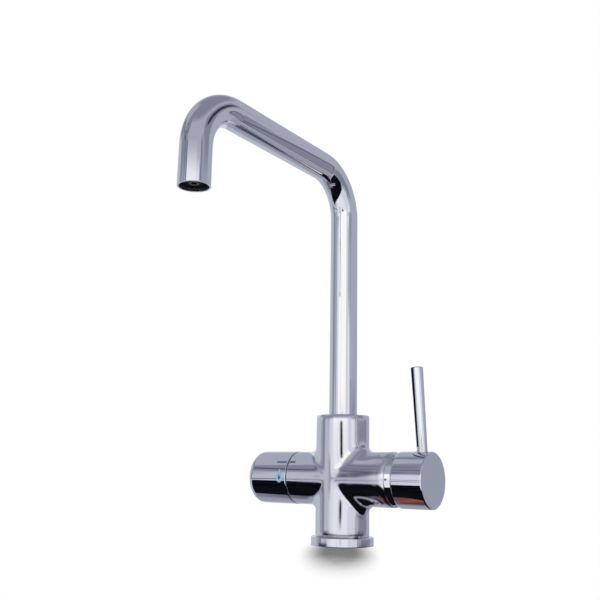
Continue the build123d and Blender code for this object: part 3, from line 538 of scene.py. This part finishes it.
def make_chrome(name, waviness, wave_size, edge_rounding, crisp_seam=False):
    """Polished plate: edges buffed round, faint waves, hair scratches, thin water film, and
    painted shade darkening its crevices.
    """
    material, graph, inputs = surface(name, 1.0)
    tint = graph.noise(14.0, 4.0, 0.6)
    plate = graph.ramp(tint, (0.30, PLATE_TINTS[0]), (0.70, PLATE_TINTS[1]))
    # Painted shade: ambient occlusion darkens the plate's colour in crevices, seams and narrow
    # gaps.
    crevice = graph.node("ShaderNodeAmbientOcclusion", samples=8)
    crevice.inputs["Distance"].default_value = CREVICE_REACH
    crevice_shade = graph.ramp(crevice.outputs["AO"], (0.30, CREVICE_PAINTED_SHADE), (0.62, (1, 1, 1)))
    graph.link(graph.blend(1.0, plate, crevice_shade, "MULTIPLY"), inputs["Base Color"])

    film = graph.noise(55.0, 6.0, 0.65)
    specks = graph.noise(900.0, 2.0, 0.5)
    film = graph.math("MULTIPLY", film, graph.between(specks, 0.7, 1.3))
    graph.link(graph.between(film, *FILM_ROUGHNESS, 0.35, 0.75), inputs["Roughness"])

    wave = graph.noise(wave_size, 1.0, 0.3)
    hair = graph.noise(700.0, 2.0, 0.5, stretch=(1, 1, 0.06))
    radius = edge_rounding
    if crisp_seam:
        parts = graph.node("ShaderNodeSeparateXYZ")
        graph.link(graph.place(), parts.inputs["Vector"])
        radius = graph.between(parts.outputs["X"], SEAM_ROUNDING, edge_rounding, *SEAM_SPAN)
    buffed = graph.node("ShaderNodeBevel", samples=16)
    graph.feed(buffed.inputs["Radius"], radius)
    waved = graph.bump(wave, waviness, buffed.outputs["Normal"])
    graph.link(graph.bump(hair, HAIR_DEPTH, waved), inputs["Normal"])
    return material


def make_brass(name, share):
    """Turned brass with stained tones; the share scales all its colour down, and a small share is
    painted shade.
    """
    material, graph, inputs = surface(name, 1.0)
    tones = ((0.42, 0.28, 0.12), (0.62, 0.44, 0.20), (0.72, 0.56, 0.30))
    dark, middle, light = (tuple(share * channel for channel in colour) for colour in tones)
    stain = graph.noise(260.0, 5.0, 0.6)
    colour = graph.ramp(stain, (0.25, dark), (0.55, middle), (0.8, light))
    graph.link(colour, inputs["Base Color"])
    rings = graph.noise(1500.0, 2.0, 0.5, stretch=(0.05, 1, 1))
    graph.link(graph.between(rings, 0.22, 0.42), inputs["Roughness"])
    graph.link(graph.bump(rings, 0.00001), inputs["Normal"])
    return material


def make_steel():
    material, graph, inputs = surface("steel", 1.0)
    cloud = graph.noise(400.0, 4.0, 0.6)
    colour = graph.ramp(cloud, (0.3, (0.36, 0.36, 0.38)), (0.7, (0.50, 0.50, 0.52)))
    graph.link(colour, inputs["Base Color"])
    brushed = graph.noise(1800.0, 2.0, 0.5, stretch=(1, 0.08, 1))
    graph.link(graph.between(brushed, 0.25, 0.45), inputs["Roughness"])
    graph.link(graph.bump(brushed, 0.000006), inputs["Normal"])
    return material


def make_moulded(name, dark, light, roughness, grain_depth=0.00001, ior=1.5):
    """Moulded plastic, rubber or fired ceramic, with its own grain and shade."""
    material, graph, inputs = surface(name, 0.0, ior)
    cloud = graph.noise(120.0, 5.0, 0.6)
    graph.link(graph.ramp(cloud, (0.3, dark), (0.7, light)), inputs["Base Color"])
    grain = graph.noise(2600.0, 3.0, 0.6)
    rough = graph.between(grain, roughness - 0.08, roughness + 0.08)
    graph.link(rough, inputs["Roughness"])
    graph.link(graph.bump(grain, grain_depth), inputs["Normal"])
    return material


def make_ink(name, dark, light):
    material, graph, inputs = surface(name, 0.0, coat=0.3)
    cover = graph.noise(1600.0, 4.0, 0.6)
    graph.link(graph.ramp(cover, (0.3, dark), (0.7, light)), inputs["Base Color"])
    graph.link(graph.between(cover, 0.30, 0.46), inputs["Roughness"])
    graph.link(graph.bump(cover, 0.000004), inputs["Normal"])
    return material


def dress_nodes():
    cast_chrome = make_chrome("chrome_cast", 0.000012, 26.0, 0.0075, crisp_seam=True)
    tube_chrome = make_chrome("chrome_tube", 0.000005, 18.0, 0.0005)
    turned_chrome = make_chrome("chrome_turned", 0.000003, 22.0, 0.0010)
    # Near-black grid: black plastic, darkened further as painted shade for the recessed mouth.
    grid = make_moulded(
        "plastic_grid", (0.006, 0.006, 0.008), (0.016, 0.016, 0.020), 0.5, ior=1.15
    )
    by_slot = {
        "brass": make_brass("brass", 1.0),
        "steel": make_steel(),
        "grey_plastic": make_moulded("plastic_grey", (0.15, 0.15, 0.16), (0.20, 0.20, 0.21), 0.5),
        "white_plastic": make_moulded(
            "plastic_white", (0.80, 0.80, 0.78), (0.88, 0.88, 0.86), 0.42
        ),
        "flow_grid": grid,
        "rubber": make_moulded("rubber", (0.03, 0.03, 0.03), (0.06, 0.06, 0.06), 0.65, 0.00002),
        "ceramic": make_moulded("ceramic", (0.84, 0.83, 0.80), (0.91, 0.90, 0.87), 0.25, 0.000004),
        "chrome": turned_chrome,
    }
    by_node = {
        "body_casting": cast_chrome,
        "spout_tube": tube_chrome,
        # painted shade: the nozzle's brass keeps a small share of its colour, for the dark
        # recessed mouth
        "filtered_nozzle": make_brass("brass_painted_shade", 0.12),
        "aerator_housing": grid,
    }
    for part in frame["record"]["subparts"]:
        node = frame["nodes"][part["node"]]
        material = by_node.get(part["node"], by_slot[part["material_slot"]])
        node.data.materials.clear()
        node.data.materials.append(material)


# ---------------------------------------------------------------- printed marks
ARM_HEIGHT = 54.0
ARM_RADIUS = 22.2
KNOB_RADIUS = 22.4
INK = 0.03                      # ink above the surface, and as deep below it
THICK_INK = 0.05                # where it lies on other ink
LINE_WIDTH = 3.6                # degrees round the arm
DROP_STATION = -50.4            # x of the drop on the knob
DROP_STEPS = 32


def on_arm(x, height_angle, radius):
    """Point on the left arm's surface; the angle climbs from its front."""
    angle = math.radians(height_angle)
    return Vector((x, -radius * math.cos(angle), ARM_HEIGHT + radius * math.sin(angle))) * MM


def make_mark(name, outline, radius, body, material, thickness=INK):
    """Ink laid on the round surface: a thin closed plate that follows it."""
    shape = bmesh.new()
    tops = [shape.verts.new(on_arm(x, a, radius + thickness)) for x, a in outline]
    feet = [shape.verts.new(on_arm(x, a, radius - thickness)) for x, a in outline]
    shape.faces.new(tops)
    shape.faces.new(feet[::-1])
    count = len(outline)
    for i in range(count):
        j = (i + 1) % count
        shape.faces.new((tops[i], feet[i], feet[j], tops[j]))
    bmesh.ops.recalc_face_normals(shape, faces=shape.faces)
    bmesh.ops.triangulate(shape, faces=shape.faces)
    mesh = bpy.data.meshes.new(name)
    shape.to_mesh(mesh)
    shape.free()
    mark = bpy.data.objects.new(name, mesh)
    bpy.context.scene.collection.objects.link(mark)
    mark.data.materials.append(material)
    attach(mark, body)


def line_outline(x_start, x_end, middle):
    low, high = middle - LINE_WIDTH / 2, middle + LINE_WIDTH / 2
    return [(x_start, low), (x_end, low), (x_end, high), (x_start, high)]


def drop_outline(middle, width, height):
    """Water drop, tip up: a round foot drawn out to a point."""
    points = []
    for step in range(DROP_STEPS):
        angle = 2 * math.pi * step / DROP_STEPS
        across = math.sin(angle) * (0.5 - 0.5 * math.cos(angle)) ** 0.5
        along = math.degrees(height / 2 * math.cos(angle) / KNOB_RADIUS)
        points.append((DROP_STATION + width / 2 * across, middle + along))
    return points


def make_marks():
    """Line across the seam, in two parts, and a drop within a drop on the knob."""
    blue = make_ink("ink_blue", (0.015, 0.04, 0.24), (0.03, 0.07, 0.34))
    navy = make_ink("ink_navy", (0.006, 0.01, 0.05), (0.01, 0.02, 0.09))
    sky = make_ink("ink_sky", (0.30, 0.56, 0.78), (0.42, 0.68, 0.88))
    make_mark("knob_line", line_outline(-55.8, -45.2, 35.3), KNOB_RADIUS, "filter_handle", blue)
    make_mark("arm_line", line_outline(-42.6, -36.4, 36.0), ARM_RADIUS, "tap_body", navy)
    outer = drop_outline(4.0, 8.2, 11.6)
    make_mark("knob_drop", outer, KNOB_RADIUS, "filter_handle", sky)
    inner = drop_outline(0.8, 2.6, 4.0)
    make_mark("knob_drop_core", inner, KNOB_RADIUS, "filter_handle", blue, THICK_INK)


# ---------------------------------------------------------------- all together
bpy.context.scene.view_settings.view_transform = "Standard"
make_camera()
make_world()
make_lamp()
make_floor()
make_bench()
make_flag()
dress_nodes()
make_marks()
